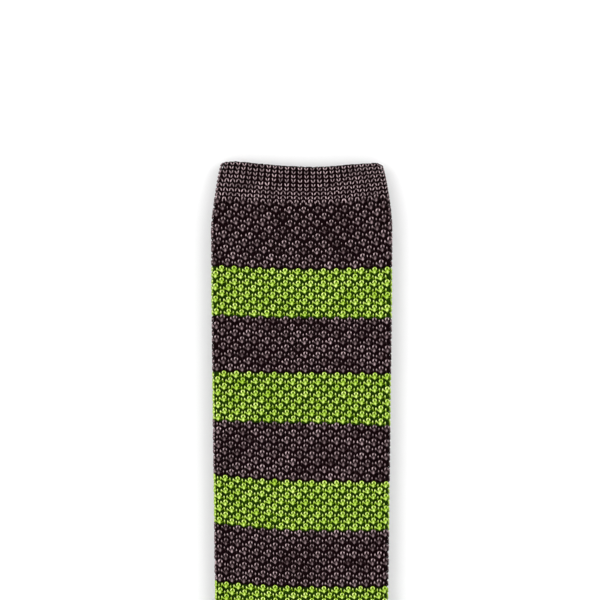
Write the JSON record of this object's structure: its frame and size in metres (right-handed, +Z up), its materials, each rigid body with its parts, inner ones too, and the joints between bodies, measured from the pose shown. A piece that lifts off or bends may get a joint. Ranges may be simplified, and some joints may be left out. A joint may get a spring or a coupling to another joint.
{
  "type": "knit tie",
  "caption": "Square-ended knitted tie in dark brown with green cross stripes, folded in four and lying flat with its wide end on top.",
  "frame": {"origin": "on the surface that the folded tie lies on, under the middle of its outer box", "axes": "+Z up from that surface, +Y along the tie towards the edge of the wide front end, +X across the tie"},
  "size_m": [0.06, 0.3874, 0.014],
  "materials": {
    "brown_yarn": "dark brown knitted silk yarn with a soft sheen",
    "green_yarn": "lime green knitted silk yarn with a soft sheen"
  },
  "bodies": {
    "root": {"front_hem": "brown_yarn", "front_band_01_brown": "brown_yarn", "front_band_02_green": "green_yarn", "front_band_03_brown": "brown_yarn", "front_band_04_green": "green_yarn", "front_band_05_brown": "brown_yarn", "front_band_06_green": "green_yarn", "front_band_07_brown": "brown_yarn", "front_band_08_green": "green_yarn", "front_band_09_brown": "brown_yarn", "front_band_10_green": "green_yarn", "front_band_11_brown": "brown_yarn", "front_band_12_green": "green_yarn", "front_band_13_brown": "brown_yarn", "front_band_14_green": "green_yarn", "front_band_15_brown": "brown_yarn", "front_band_16_green": "green_yarn", "front_band_17_brown": "brown_yarn", "front_band_18_green": "green_yarn", "front_band_19_brown": "brown_yarn", "front_band_20_green": "green_yarn", "front_band_21_brown": "brown_yarn", "front_band_22_green": "green_yarn", "front_band_23_brown": "brown_yarn", "front_band_24_green": "green_yarn", "front_band_25_brown": "brown_yarn", "front_band_26_green": "green_yarn", "front_band_27_brown": "brown_yarn", "front_band_28_green": "green_yarn", "front_band_29_brown": "brown_yarn", "front_band_30_green": "green_yarn", "front_band_31_brown": "brown_yarn", "front_band_32_green": "green_yarn", "front_band_33_brown": "brown_yarn", "front_band_34_green": "green_yarn", "neck_band": "brown_yarn", "tail_blade": "brown_yarn", "tail_hem": "brown_yarn"}
  },
  "joints": []
}
